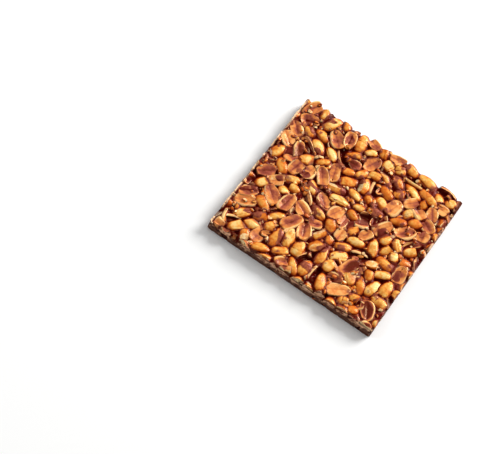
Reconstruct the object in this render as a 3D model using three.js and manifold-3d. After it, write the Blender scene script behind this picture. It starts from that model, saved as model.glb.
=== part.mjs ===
// A square slab of peanut brittle: hard caramel crowded with peanuts, rolled flat and cut with a knife on
// three sides. The fourth side, at the rear, is the rounded and lumpy edge of the sheet it was cut from.
// It is one solid. Millimetres, +Z up; the origin is the middle of the flat underside and -Y is the front.
//
// The peanuts are laid by a seeded rule: each one takes the roomiest of a few random places, and then all
// of them push one another apart, as a rolling pin spreads them, until they lie side by side. Whole ones
// go first, broken ones fill the room that is left, and crumbs drop into the last gaps.

import * as THREE from "three";
import { mergeVertices } from "three/addons/utils/BufferGeometryUtils.js";
import Module from "manifold-3d";

const wasm = await Module();
wasm.setup();

// The slab.
const SIDE = 110; // between the two side cuts, and from the front cut to the rear edge
const CARAMEL_TOP = 6.4; // level of the caramel between the peanuts
const NUT_TOP = 8.3; // mean level of the tops of the peanuts
const NUT_TOP_SPREAD = 0.35; // how far a peanut's top may lie above or below that
const CORNER_RADIUS = 1.6; // of the two front corners
const REAR_BOW = 1.8; // how far the rear edge bulges at its middle
const REAR_ROUNDING = 2; // of the rear edge, top and bottom
const REAR_OVERHANG = 0.9; // how far a peanut may stand out of the rear edge

// The laying of the peanuts.
const SEED = 42;
const PLACES_TRIED = 16; // random places that each peanut chooses from
const PUSH_ROUNDS = 120; // after each batch
const CUT_MARGIN = 1.5; // how far past a cut the middle of a peanut may lie
const NESTLE = 0.93; // touching peanuts sink into each other by the rest of their width
const PLACE_STEP = 1e-6; // places and turns are rounded to whole steps after each push

// What the peanuts are. Lengths run along a peanut and widths across it; high is its thickness. roll and
// pitch are in degrees, and blunt is where a broken one ends, as a share of half of the whole peanut's
// length. form says which shape it is made from.
const WHOLE = [
  {
    form: "kernel", count: 60, long: [12.4, 15.6], wide: [7.4, 9.2], high: [6.2, 7],
    roll: [-25, 25], pitch: [-6, 6], blunt: [1, 1],
  },
  {
    form: "half", count: 16, long: [13, 16], wide: [8, 9.6], high: [3.8, 4.6],
    roll: [-8, 8], pitch: [-5, 5], blunt: [1, 1],
  },
  {
    form: "half", count: 10, long: [11.5, 14.5], wide: [5.4, 6.8], high: [4, 4.8],
    roll: [38, 58], pitch: [-5, 5], blunt: [1, 1],
  },
];

const BROKEN = [
  {
    form: "kernel", count: 66, long: [7.4, 11], wide: [6.8, 8.8], high: [5.8, 6.8],
    roll: [-30, 30], pitch: [-10, 10], blunt: [0.1, 0.6],
  },
  {
    form: "half", count: 24, long: [7.8, 11.2], wide: [7.2, 8.8], high: [3.6, 4.4],
    roll: [-14, 14], pitch: [-8, 8], blunt: [0, 0.5],
  },
];

const CRUMBS = [
  {
    form: "bit", count: 26, long: [4, 6], wide: [3, 4], high: [3, 4],
    roll: [-60, 60], pitch: [-40, 40], blunt: [1, 1],
  },
];

// Peanuts that lie where they do by design: form, x, y, turn in degrees, long, wide, roll, blunt.
const PLACED = [
  ["half", -49, 49.5, 61, 15.5, 8.8, 4, 1],
  ["half", -19.5, 45, -80, 13.5, 8.2, -6, 1],
  ["half", -1, 40, 64, 14, 9.3, 8, 1],
  ["half", -49, 22, -40, 12.5, 9.4, -5, 1],
  ["half", -15.5, 20, -73, 14.8, 8.4, 10, 1],
  ["half", -47.5, -5, 36, 14.2, 9.2, 3, 1],
  ["half", -49, -23, 34, 15.2, 8.8, -8, 1],
  ["half", -21, -4, -44, 15.4, 7.2, 30, 1],
  ["half", -10.5, -0.5, -48, 14, 9.4, -9, 1],
  ["kernel", -19.5, -39, 91, 15.6, 8.6, 0, 1],
  ["half", -28.5, -45, 73, 10.8, 8.8, 6, 0.4],
  ["half", 26, 6, 61, 14, 8.4, 12, 0.6],
  ["half", 38, 12, 44, 15, 9.4, -4, 1],
  ["half", 45, 7.5, 48, 12.4, 4.6, 20, 0.5],
  ["half", 44.5, 33.5, -58, 11.8, 8.6, 5, 1],
  ["kernel", 39, -13, -10, 14, 8.4, 0, 1],
  ["half", 23.5, -28, 63, 16.4, 8.8, 0, 0.7],
  ["half", 24.5, -18, 21, 12.4, 5.6, 62, 1],
  ["kernel", 34.5, -34, -65, 15, 7.4, 10, 1],
  ["half", 25.5, -44.5, 31, 15.6, 9.4, -6, 1],
  ["half", 46, -45.5, -62, 14.2, 9.2, 5, 1],
  ["half", -46, -45, 31, 13.6, 5.6, 60, 1],
];

const DEGREE = Math.PI / 180;
const HALF_SIDE = SIDE / 2;
const WORD = 2 ** 32;

let seedState = SEED;

// The next random number from 0 to 1, alike on every machine.
function random() {
  seedState = (seedState * 1664525 + 1013904223) % WORD;
  return seedState / WORD;
}

function between([low, high]) {
  return low + (high - low) * random();
}

// How far back the rear edge lies at x.
function rearEdge(x) {
  return HALF_SIDE - REAR_BOW + REAR_BOW * (1 - (x / HALF_SIDE) ** 2);
}

// A peanut with everything but its place.
function newNut(kind) {
  const nut = { form: kind.form, fixed: false };
  nut.long = between(kind.long);
  nut.wide = between(kind.wide);
  nut.high = between(kind.high);
  nut.turn = 180 * random() * DEGREE;
  nut.roll = between(kind.roll) * DEGREE;
  nut.pitch = between(kind.pitch) * DEGREE;
  nut.blunt = between(kind.blunt);
  nut.slope = random() - 0.5;
  nut.top = NUT_TOP + NUT_TOP_SPREAD * (2 * random() - 1);
  return nut;
}

// How wide a peanut lies, for its roll.
function girth(nut) {
  return Math.hypot(nut.wide * Math.cos(nut.roll), nut.high * Math.sin(nut.roll));
}

// The clear distance from a place to the nearest peanut.
function roomAt(x, y, laid) {
  let room = Infinity;
  for (const other of laid) {
    if (Math.hypot(x - other.x, y - other.y) - other.long > room) continue;
    for (const disc of discs(other)) {
      room = Math.min(room, Math.hypot(x - disc.x, y - disc.y) - disc.radius);
    }
  }
  return room;
}

// The three discs that stand for a peanut while it is pushed: both ends and the middle.
function discs(nut) {
  const endRadius = 0.375 * girth(nut);
  const arm = Math.max(0, nut.long / 2 - endRadius);
  return [-arm, 0, arm].map((lever) => ({
    x: nut.x + lever * Math.cos(nut.turn),
    y: nut.y + lever * Math.sin(nut.turn),
    radius: (lever === 0 ? girth(nut) / 2 : endRadius) * NESTLE,
    lever,
  }));
}

// Moves a peanut, and turns it where the push is off its middle.
function push(nut, disc, dx, dy) {
  const torque = disc.lever * (Math.cos(nut.turn) * dy - Math.sin(nut.turn) * dx);
  nut.x += dx;
  nut.y += dy;
  nut.turn += torque / (0.25 * nut.long * nut.long);
}

// Pushes two peanuts apart wherever their discs overlap.
function separate(a, b) {
  const reach = (a.long + b.long) / 2;
  if ((a.fixed && b.fixed) || Math.abs(a.x - b.x) > reach || Math.abs(a.y - b.y) > reach) return;
  for (const p of discs(a)) {
    for (const q of discs(b)) {
      const dx = q.x - p.x;
      const dy = q.y - p.y;
      const apart = Math.max(Math.hypot(dx, dy), 1e-6);
      const overlap = p.radius + q.radius - apart;
      if (overlap <= 0) continue;
      const share = (0.4 * overlap) / apart;
      const moveA = a.fixed ? 0 : b.fixed ? 2 * share : share;
      const moveB = b.fixed ? 0 : a.fixed ? 2 * share : share;
      push(a, p, -dx * moveA, -dy * moveA);
      push(b, q, dx * moveB, dy * moveB);
    }
  }
}

// Keeps a peanut on the slab: inside the rear edge, and its middle near or inside the cuts.
function contain(nut) {
  if (nut.fixed) return;
  for (const disc of discs(nut)) {
    const over = disc.y + disc.radius - rearEdge(disc.x) - REAR_OVERHANG;
    if (over > 0) push(nut, disc, 0, -over);
  }
  nut.x = THREE.MathUtils.clamp(nut.x, -HALF_SIDE - CUT_MARGIN, HALF_SIDE + CUT_MARGIN);
  nut.y = Math.max(nut.y, -HALF_SIDE - CUT_MARGIN);
}

// Adds the peanuts of one kind, each at the roomiest of the places it tries.
function scatter(kind, laid) {
  for (let made = 0; made < kind.count; made++) {
    const nut = newNut(kind);
    let mostRoom = -Infinity;
    for (let tried = 0; tried < PLACES_TRIED; tried++) {
      const x = (2 * random() - 1) * (HALF_SIDE + CUT_MARGIN);
      const y = (2 * random() - 1) * (HALF_SIDE + CUT_MARGIN);
      const toRear = rearEdge(x) + REAR_OVERHANG - girth(nut) / 2 - y;
      const room = Math.min(roomAt(x, y, laid), toRear + girth(nut) / 2);
      if (room > mostRoom && toRear > 0) {
        mostRoom = room;
        nut.x = x;
        nut.y = y;
      }
    }
    laid.push(nut);
  }
}

// Rounds to whole steps, so that the last digits of a sum never grow into another layout.
function toStep(value) {
  return Math.floor(value / PLACE_STEP + 0.5) * PLACE_STEP;
}

// Lets all the peanuts push one another apart.
function settle(laid) {
  for (let round = 0; round < PUSH_ROUNDS; round++) {
    for (let i = 0; i < laid.length; i++) {
      for (let j = i + 1; j < laid.length; j++) separate(laid[i], laid[j]);
    }
    for (const nut of laid) {
      contain(nut);
      nut.x = toStep(nut.x);
      nut.y = toStep(nut.y);
      nut.turn = toStep(nut.turn);
    }
  }
}

// Every peanut of the top, in its place.
function layNuts() {
  const laid = PLACED.map(([form, x, y, turn, long, wide, roll, blunt]) => {
    const nut = newNut(WHOLE.find((kind) => kind.form === form));
    const angles = { turn: turn * DEGREE, roll: roll * DEGREE };
    return Object.assign(nut, angles, { x, y, long, wide, blunt, fixed: true });
  });
  for (const batch of [WHOLE, BROKEN]) {
    batch.forEach((kind) => scatter(kind, laid));
    settle(laid);
  }
  CRUMBS.forEach((kind) => scatter(kind, laid));
  return laid;
}

// Moves each vertex of a unit shape by a rule, so that simple shapes become peanuts.
function reshape(geometry, rule) {
  const position = geometry.getAttribute("position");
  const point = new THREE.Vector3();
  for (let i = 0; i < position.count; i++) {
    rule(point.fromBufferAttribute(position, i));
    position.setXYZ(i, point.x, point.y, point.z);
  }
  return geometry;
}

// Turns a unit length along a peanut into millimetres: the germ end is the slimmer one, and a broken
// peanut stops short at a slanting face.
function setAlong(nut, point) {
  const halfWhole = nut.long / (1 + nut.blunt);
  const slimness = 1 - 0.13 * point.x;
  point.y *= (nut.wide / 2) * slimness;
  const face = halfWhole * nut.blunt + (nut.blunt < 1 ? nut.slope * point.y : 0);
  point.x = Math.min(point.x * halfWhole, face) + (halfWhole * (1 - nut.blunt)) / 2;
}

const KERNEL_SIDES = 8;
const KERNEL_RINGS = 5;
const BROKEN_RINGS = 3;
const KERNEL_FULLNESS = 0.86; // under 1 makes a kernel's ends blunter than an egg's

// A whole or broken kernel, skin off, its long axis along X and a flat of its eight sides on top.
function kernelShape(nut) {
  const rings = nut.blunt < 1 ? BROKEN_RINGS : KERNEL_RINGS;
  const flat = Math.PI / KERNEL_SIDES;
  const ball = new THREE.SphereGeometry(1, KERNEL_SIDES, rings).rotateY(flat).rotateZ(-Math.PI / 2);
  return reshape(ball, (point) => {
    const ring = Math.hypot(point.y, point.z);
    const fuller = ring > 1e-6 ? ring ** KERNEL_FULLNESS / (ring * Math.cos(flat)) : 0;
    point.y *= fuller;
    point.z *= fuller * (nut.high / 2) * (1 - 0.1 * point.x);
    setAlong(nut, point);
  });
}

const HALF_SIDES = 9;
const RIM = 0.88; // where the rim of the split face is highest, as a share of its radius
const DISH = 0.5; // depth of the split face at its middle

// Half a kernel with its split face up: a shallow dish with a rim, over a round back.
function halfShape(nut) {
  const profile = [
    new THREE.Vector2(0, -DISH),
    new THREE.Vector2(RIM, 0),
    new THREE.Vector2(1, -0.35 * nut.high),
    new THREE.Vector2(0, -nut.high),
  ].reverse();
  const bowl = new THREE.LatheGeometry(profile, HALF_SIDES).rotateX(Math.PI / 2);
  return reshape(bowl, (point) => setAlong(nut, point));
}

// A crumb of nut with flat broken faces.
function bitShape(nut) {
  return new THREE.IcosahedronGeometry(1, 0).scale(nut.long / 2, nut.wide / 2, nut.high / 2);
}

const SHAPES = { kernel: kernelShape, half: halfShape, bit: bitShape };

// The height of a peanut's own origin that brings its top to the right level.
function seatHeight(nut) {
  const lean = 0.3 * nut.long * Math.abs(Math.sin(nut.pitch));
  const sideways = Math.abs(Math.sin(nut.roll)) * (nut.wide / 2);
  if (nut.form === "half") return nut.top - lean - sideways;
  return nut.top - lean - Math.hypot(sideways, (Math.cos(nut.roll) * nut.high) / 2);
}

// A closed geometry as a solid that can be joined and cut.
function solidOf(geometry) {
  const bare = new THREE.BufferGeometry();
  bare.setAttribute("position", geometry.getAttribute("position"));
  if (geometry.index) bare.setIndex(geometry.index);
  const merged = mergeVertices(bare, 1e-4);
  return new wasm.Manifold(
    new wasm.Mesh({
      numProp: 3,
      vertProperties: new Float32Array(merged.attributes.position.array),
      triVerts: new Uint32Array(merged.index.array),
    }),
  );
}

function geometryOf(solid) {
  const { numProp, vertProperties, triVerts } = solid.getMesh();
  const position = new THREE.InterleavedBufferAttribute(
    new THREE.InterleavedBuffer(vertProperties, numProp), 3, 0,
  );
  const geometry = new THREE.BufferGeometry();
  geometry.setAttribute("position", new THREE.BufferAttribute(new Float32Array(position.count * 3), 3));
  for (let i = 0; i < position.count; i++) {
    geometry.attributes.position.setXYZ(i, position.getX(i), position.getY(i), position.getZ(i));
  }
  geometry.setIndex(new THREE.BufferAttribute(triVerts, 1));
  return geometry;
}

function nutSolid(nut) {
  const angles = new THREE.Euler(nut.roll, nut.pitch, nut.turn, "ZYX");
  const place = new THREE.Matrix4().makeRotationFromEuler(angles);
  place.setPosition(nut.x, nut.y, seatHeight(nut));
  return solidOf(SHAPES[nut.form](nut).applyMatrix4(place));
}

const PAST_CUT = 6; // how far the sheet ran on past each cut before it was cut

// The caramel sheet before cutting: bowed and rounded at the rear.
function sheetSolid() {
  const outline = new THREE.Shape();
  const far = HALF_SIDE + PAST_CUT;
  const steps = 12;
  outline.moveTo(-far, -far);
  outline.lineTo(far, -far);
  for (let i = 0; i <= steps; i++) {
    const x = far - (2 * far * i) / steps;
    outline.lineTo(x, rearEdge(x) - REAR_ROUNDING / 2);
  }
  outline.closePath();
  const sheet = new THREE.ExtrudeGeometry(outline, {
    depth: CARAMEL_TOP - 2 * REAR_ROUNDING,
    bevelThickness: REAR_ROUNDING,
    bevelSize: REAR_ROUNDING / 2,
    bevelSegments: 3,
  });
  return solidOf(sheet.translate(0, 0, REAR_ROUNDING));
}

// What the knife leaves: everything between the side cuts, behind the front cut and above the table.
function cutBlock() {
  const outline = new THREE.Shape();
  const inset = HALF_SIDE - CORNER_RADIUS;
  outline.moveTo(HALF_SIDE, SIDE);
  outline.lineTo(-HALF_SIDE, SIDE);
  outline.absarc(-inset, -inset, CORNER_RADIUS, Math.PI, 1.5 * Math.PI);
  outline.absarc(inset, -inset, CORNER_RADIUS, 1.5 * Math.PI, 2 * Math.PI);
  outline.closePath();
  const block = new THREE.ExtrudeGeometry(outline, {
    depth: 2 * NUT_TOP,
    bevelEnabled: false,
    curveSegments: 3,
  });
  return solidOf(block);
}

// The largest body of a solid, with its sealed hollows filled and its loose scraps dropped.
function mainBody(solid) {
  return solid.decompose().reduce((largest, body) => (body.volume() > largest.volume() ? body : largest));
}

function brittleGeometry() {
  const fused = layNuts().reduce((whole, nut) => whole.add(nutSolid(nut)), sheetSolid());
  const geometry = geometryOf(mainBody(fused.intersect(cutBlock())));
  geometry.computeBoundingBox();
  const middle = geometry.boundingBox.getCenter(new THREE.Vector3());
  return geometry.translate(-middle.x, -middle.y, 0);
}

const brittle = new THREE.Mesh(
  brittleGeometry(),
  new THREE.MeshStandardMaterial({ color: 0xb5702f, roughness: 0.3, metalness: 0 }),
);
brittle.name = "brittle_slab";
brittle.geometry.computeVertexNormals();

const slab = new THREE.Group();
slab.add(brittle);

export default slab;
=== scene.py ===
import math
import random

import bmesh
import bpy
import numpy as np
from mathutils import Euler, Matrix, Vector, noise
from mathutils.bvhtree import BVHTree
from mathutils.kdtree import KDTree


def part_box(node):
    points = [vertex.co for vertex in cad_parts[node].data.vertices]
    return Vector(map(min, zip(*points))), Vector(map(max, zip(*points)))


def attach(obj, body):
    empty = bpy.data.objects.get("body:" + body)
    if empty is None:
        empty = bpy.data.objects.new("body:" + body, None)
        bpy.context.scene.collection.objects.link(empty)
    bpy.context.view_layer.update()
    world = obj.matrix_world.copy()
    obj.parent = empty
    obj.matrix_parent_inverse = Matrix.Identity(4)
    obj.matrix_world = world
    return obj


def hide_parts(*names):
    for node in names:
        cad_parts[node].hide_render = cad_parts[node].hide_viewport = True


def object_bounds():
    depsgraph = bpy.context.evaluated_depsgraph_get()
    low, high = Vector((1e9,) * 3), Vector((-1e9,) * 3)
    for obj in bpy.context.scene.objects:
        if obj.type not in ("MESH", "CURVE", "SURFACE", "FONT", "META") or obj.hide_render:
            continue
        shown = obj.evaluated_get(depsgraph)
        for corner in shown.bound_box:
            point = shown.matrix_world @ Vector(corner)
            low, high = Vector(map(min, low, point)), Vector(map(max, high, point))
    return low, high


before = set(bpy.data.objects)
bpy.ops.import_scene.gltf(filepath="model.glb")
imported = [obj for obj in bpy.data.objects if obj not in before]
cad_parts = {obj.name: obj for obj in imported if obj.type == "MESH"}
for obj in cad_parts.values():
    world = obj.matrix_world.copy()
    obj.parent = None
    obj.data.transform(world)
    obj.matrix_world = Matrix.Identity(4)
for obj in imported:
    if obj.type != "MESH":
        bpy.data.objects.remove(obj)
cadLow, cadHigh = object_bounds()
mm = 0.001
nodeName = "brittle_slab"
print("frame loaded")


slab = {
    "side": 110,  # between the side cuts, and from the front cut to the rear edge
    "nutTop": 8.3,  # mean level of the tops of the nuts
    "nutTopSpread": 0.35,
    "rearBow": 1.8,  # how far the rear edge bulges at its middle
    "rearRounding": 2,
    "rearOverhang": 0.9,  # how far a nut may stand out of the rear edge
    "cornerRadius": 1.6,  # of the two front corners
    "clearance": 0.03,  # everything stays this far inside the box of the plain part
}

layout = {
    "seed": 42,
    "placesTried": 16,  # random places that each nut chooses from
    "pushRounds": 120,  # after each batch
    "cutMargin": 1.5,  # how far past a cut the middle of a nut may lie
    "endShare": 0.375,  # how far a nut's end reaches round its own middle, as a share of its width
    "nestle": 0.93,  # touching nuts sink into each other by the rest of their width
    "push": 0.4, "swing": 0.25,  # how much of an overlap one push takes, and how hard nuts are to turn
    "placeStep": 1e-6,  # places and turns are rounded to whole steps after each push
}

# form, how many, then from where to where: long, which runs along a nut, wide, high, roll, pitch,
# and blunt, which is where a broken nut ends, as a share of half its whole length
topKinds = {
    "whole": [
        ("kernel", 60, (12.4, 15.6), (7.4, 9.2), (6.2, 7), (-25, 25), (-6, 6), (1, 1)),
        ("half", 16, (13, 16), (8, 9.6), (3.8, 4.6), (-8, 8), (-5, 5), (1, 1)),
        ("half", 10, (11.5, 14.5), (5.4, 6.8), (4, 4.8), (38, 58), (-5, 5), (1, 1)),
    ],
    "broken": [
        ("kernel", 66, (7.4, 11), (6.8, 8.8), (5.8, 6.8), (-30, 30), (-10, 10), (0.1, 0.6)),
        ("half", 24, (7.8, 11.2), (7.2, 8.8), (3.6, 4.4), (-14, 14), (-8, 8), (0, 0.5)),
    ],
    "crumbs": [("bit", 26, (4, 6), (3, 4), (3, 4), (-60, 60), (-40, 40), (1, 1))],
}

# nuts that lie at listed places, not scattered: form, x, y, turn, long, wide, roll, blunt
placedNuts = [
    ("half", -49, 49.5, 61, 15.5, 8.8, 4, 1),
    ("half", -19.5, 45, -80, 13.5, 8.2, -6, 1),
    ("half", -1, 40, 64, 14, 9.3, 8, 1),
    ("half", -49, 22, -40, 12.5, 9.4, -5, 1),
    ("half", -15.5, 20, -73, 14.8, 8.4, 10, 1),
    ("half", -47.5, -5, 36, 14.2, 9.2, 3, 1),
    ("half", -49, -23, 34, 15.2, 8.8, -8, 1),
    ("half", -21, -4, -44, 15.4, 7.2, 30, 1),
    ("half", -10.5, -0.5, -48, 14, 9.4, -9, 1),
    ("kernel", -19.5, -39, 91, 15.6, 8.6, 0, 1),
    ("half", -28.5, -45, 73, 10.8, 8.8, 6, 0.4),
    ("half", 26, 6, 61, 14, 8.4, 12, 0.6),
    ("half", 38, 12, 44, 15, 9.4, -4, 1),
    ("half", 45, 7.5, 48, 12.4, 4.6, 20, 0.5),
    ("half", 44.5, 33.5, -58, 11.8, 8.6, 5, 1),
    ("kernel", 39, -13, -10, 14, 8.4, 0, 1),
    ("half", 23.5, -28, 63, 16.4, 8.8, 0, 0.7),
    ("half", 24.5, -18, 21, 12.4, 5.6, 62, 1),
    ("kernel", 34.5, -34, -65, 15, 7.4, 10, 1),
    ("half", 25.5, -44.5, 31, 15.6, 9.4, -6, 1),
    ("half", 46, -45.5, -62, 14.2, 9.2, 5, 1),
    ("half", -46, -45, 31, 13.6, 5.6, 60, 1),
]

halfSide = slab["side"] / 2
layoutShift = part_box(nodeName)[0].y / mm + halfSide  # from the middle of the cuts to the part's middle
diceState = [layout["seed"]]


def draw():
    diceState[0] = (diceState[0] * 1664525 + 1013904223) % 2**32
    return diceState[0] / 2**32


def between(span):
    return span[0] + (span[1] - span[0]) * draw()


def rearEdge(x):
    return halfSide - slab["rearBow"] + slab["rearBow"] * (1 - (x / halfSide) ** 2)


def newNut(kind):
    form, count, long, wide, high, roll, pitch, blunt = kind
    return {
        "form": form, "fixed": False, "x": 0, "y": 0,
        "long": between(long), "wide": between(wide), "high": between(high),
        "turn": math.radians(180 * draw()), "roll": math.radians(between(roll)),
        "pitch": math.radians(between(pitch)), "blunt": between(blunt), "slope": draw() - 0.5,
        "top": slab["nutTop"] + slab["nutTopSpread"] * (2 * draw() - 1),
    }


def girth(nut):  # how wide a nut lies, for its roll
    return math.hypot(nut["wide"] * math.cos(nut["roll"]), nut["high"] * math.sin(nut["roll"]))


def discsOf(nut):  # three discs stand for a nut while it is pushed: both ends and the middle
    width = girth(nut)
    endRadius = layout["endShare"] * width
    arm = max(0, nut["long"] / 2 - endRadius)
    c, s = math.cos(nut["turn"]), math.sin(nut["turn"])
    radii = (endRadius, width / 2, endRadius) if arm else (width / 2,) * 3
    return [(nut["x"] + lever * c, nut["y"] + lever * s, radius * layout["nestle"], lever)
            for lever, radius in zip((-arm, 0, arm), radii)]


def roomAt(x, y, laid):
    room = math.inf
    for other, discs in laid:
        if math.hypot(x - other["x"], y - other["y"]) - other["long"] > room:
            continue
        for disc in discs:
            room = min(room, math.hypot(x - disc[0], y - disc[1]) - disc[2])
    return room


def pushNut(nut, lever, dx, dy):
    torque = lever * (math.cos(nut["turn"]) * dy - math.sin(nut["turn"]) * dx)
    nut["x"] += dx
    nut["y"] += dy
    nut["turn"] += torque / (layout["swing"] * nut["long"] * nut["long"])


def separate(a, b):
    reach = (a["long"] + b["long"]) / 2
    if (a["fixed"] and b["fixed"]) or abs(a["x"] - b["x"]) > reach or abs(a["y"] - b["y"]) > reach:
        return
    for p in discsOf(a):
        for q in discsOf(b):
            dx, dy = q[0] - p[0], q[1] - p[1]
            apart = max(math.hypot(dx, dy), 1e-6)
            overlap = p[2] + q[2] - apart
            if overlap <= 0:
                continue
            share = layout["push"] * overlap / apart
            moveA = 0 if a["fixed"] else 2 * share if b["fixed"] else share
            moveB = 0 if b["fixed"] else 2 * share if a["fixed"] else share
            pushNut(a, p[3], -dx * moveA, -dy * moveA)
            pushNut(b, q[3], dx * moveB, dy * moveB)


def contain(nut):
    if nut["fixed"]:
        return
    for x, y, radius, lever in discsOf(nut):
        over = y + radius - rearEdge(x) - slab["rearOverhang"]
        if over > 0:
            pushNut(nut, lever, 0, -over)
    edge = halfSide + layout["cutMargin"]
    nut["x"] = min(max(nut["x"], -edge), edge)
    nut["y"] = max(nut["y"], -edge)


def scatter(kinds, laid, places=layout["placesTried"]):  # each nut takes the roomiest place it tries
    edge = halfSide + layout["cutMargin"]
    known = [(nut, discsOf(nut)) for nut in laid]
    for nut in (newNut(kind) for kind in kinds for made in range(kind[1])):
        mostRoom = -math.inf
        for tried in range(places):
            x, y = (2 * draw() - 1) * edge, (2 * draw() - 1) * edge
            toRear = rearEdge(x) + slab["rearOverhang"] - girth(nut) / 2 - y
            room = min(roomAt(x, y, known), toRear + girth(nut) / 2)
            if room > mostRoom and toRear > 0:
                mostRoom = room
                nut["x"], nut["y"] = x, y
        laid.append(nut)
        known.append((nut, discsOf(nut)))


def toStep(value):  # the last digits of a sum never grow into another layout
    return math.floor(value / layout["placeStep"] + 0.5) * layout["placeStep"]


def settle(laid):
    for made in range(layout["pushRounds"]):
        for i, nut in enumerate(laid):
            for other in laid[i + 1:]:
                separate(nut, other)
        for nut in laid:
            contain(nut)
            for place in ("x", "y", "turn"):
                nut[place] = toStep(nut[place])


def layNuts():
    laid = []
    for form, x, y, turn, long, wide, roll, blunt in placedNuts:
        nut = newNut(next(kind for kind in topKinds["whole"] if kind[0] == form))
        nut.update(turn=math.radians(turn), roll=math.radians(roll), x=x, y=y,
                   long=long, wide=wide, blunt=blunt, fixed=True)
        laid.append(nut)
    for batch in ("whole", "broken"):
        scatter(topKinds[batch], laid)
        settle(laid)
    scatter(topKinds["crumbs"], laid)
    return laid


topNuts = layNuts()
print("laid", len(topNuts), "nuts for the top")


kernelLook = {
    "rings": 24,
    "fullness": 0.74,  # under 1 makes the ends blunter than an egg's
    "boxy": 0.84,  # under 1 makes it flatter on top and steeper at its flanks
    "seamDepth": 0.2, "seamWidth": 0.34,  # the line between a kernel's two halves
    "lump": 0.34, "lumpSize": 5.0,
    "wrinkle": 0.07, "wrinkleSize": 1.2,
    "crackShare": 0.3, "crackAt": (-0.45, 0.45),  # a short crack across some kernels, near the middle
    "crackDepth": 0.45, "crackWidth": 0.16,
}


def ringFaces(rings, sides):  # one point, then rings of points, then one point
    pairs = [(1 + k, 1 + (k + 1) % sides) for k in range(sides)]
    faces = [(0, b, a) for a, b in pairs]
    for start in range(0, (rings - 1) * sides, sides):
        faces += [(start + a, start + b, start + sides + b, start + sides + a) for a, b in pairs]
    start = (rings - 1) * sides
    return faces + [(start + a, start + b, rings * sides + 1) for a, b in pairs]


def rough(point, size, seed):
    return noise.noise(Vector(point) / size + Vector((seed, 2.3 * seed, 5.1 * seed)))


def bell(value, width):  # 1 at nought, and hardly anything beyond twice the width
    return math.exp(-((value / width) ** 2))


def clamped(value):
    return min(max(value, 0), 1)


def wayOf(x, y, z):
    return Vector((x, y, z)).normalized()


def halfWhole(nut):  # half the length that a broken nut had when it was whole
    return nut["long"] / (1 + nut["blunt"])


def setAlong(nut, x, y):  # unit places to millimetres: the germ end is the slimmer one
    far = halfWhole(nut)
    return x * far + far * (1 - nut["blunt"]) / 2, y * nut["wide"] / 2 * (1 - 0.13 * x)


def boxed(value, power):
    return math.copysign(abs(value) ** power, value)


def kernelForm(nut, dice, fine=1):
    look = kernelLook
    seam = dice.uniform(0, math.pi)
    seed = dice.uniform(0, 90)
    crack = dice.uniform(*look["crackAt"]) if dice.random() < look["crackShare"] and fine == 1 else None
    turns = list(np.linspace(0, math.pi, 9)[:-1])
    if fine == 1:  # closer together at the seam
        turns = [0, 0.08, 0.2] + list(np.linspace(0.4, math.pi - 0.4, 9))
        turns += [math.pi - 0.2, math.pi - 0.08]
    around = [seam + a for a in turns] + [seam + math.pi + a for a in turns]
    tips = list(np.linspace(0, math.pi, round(look["rings"] * fine) + 1))
    if crack is not None:
        tips = sorted(tips + [math.acos(crack) + k * look["crackWidth"] / 5 for k in (-2, -1, 1, 2)])
    points = []
    for i, fromTip in enumerate(tips):
        x = math.cos(fromTip)
        ring = math.sin(fromTip) ** look["fullness"] if 0 < i < len(tips) - 1 else 0
        for angle in around if ring else [0]:
            y, z = (ring * boxed(s, look["boxy"]) for s in (math.cos(angle), math.sin(angle)))
            px, py = setAlong(nut, x, y)
            pz = z * nut["high"] / 2 * (1 - 0.1 * x)
            out = wayOf(0.45 * x, y, z)
            toSeam = abs(math.sin(angle - seam)) * ring * nut["high"] / 2
            push = look["lump"] * rough((px, py, pz), look["lumpSize"], seed)
            push += look["wrinkle"] * rough((0.4 * px, py, pz), look["wrinkleSize"], seed)
            push -= look["seamDepth"] * bell(toSeam, look["seamWidth"]) * (1 - abs(x) ** 8)
            if crack is not None:
                toCrack = (x - crack) * nut["long"] / 2 - 0.5 * rough((0, py, pz), 2, seed)
                push -= look["crackDepth"] * clamped(0.5 + y) * bell(toCrack, look["crackWidth"])
            points.append(Vector((px, py, pz)) + push * out)
    return points, ringFaces(len(tips) - 2, len(around)), {}


halfLook = {
    "sides": 44, "coarseSides": 20,
    "radii": (0.11, 0.22, 0.33, 0.44, 0.54, 0.63, 0.71, 0.78, 0.84, 0.88, 0.915, 0.945, 0.97, 0.99),
    "coarseRadii": (0.3, 0.6, 0.84, 0.93, 0.98),
    "lip": 0.86,  # where the split face ends and its rounded rim starts, as a share of its radius
    "bevel": (0.08, 0.34),  # how much wider the rim is along one side
    "shoulder": 0.35,  # how far down the rim rounds over, as a share of the thickness
    "dish": (0.05, 0.65),  # depth of the split face at its middle
    "valley": (0.12, 0.42), "valleyWidth": 0.1,  # and of the furrow along it
    "notch": (0.2, 0.65), "notchAt": 0.7, "notchLong": 0.14, "notchWide": 0.9,  # where the germ sat
    "lump": 0.08, "lumpSize": 2.6,
    "outline": 0.07,
    "squareness": (0.6, 0.9),  # of the outline: under 1 it is blockier than an egg's
    "tip": 0.7, "tipFrom": 0.72,  # how dark the tips of the split face are, and where they begin
    "stripe": (0.05, 0.3), "stripeWidth": 0.12,  # the darker stripe along the furrow
    "pool": (0.1, 1.0), "poolOff": 0.3,  # how dark the film in the dish is, and how far off the middle
    "line": 0.22, "lineWidth": 0.25,  # the thin line in the middle of the stripe
    "pooledShare": 0.1, "pooled": 1.7,  # how many halves have caramel in their hollow, and how dark
    "germShare": 0.12,  # how many halves keep their germ
}


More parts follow.
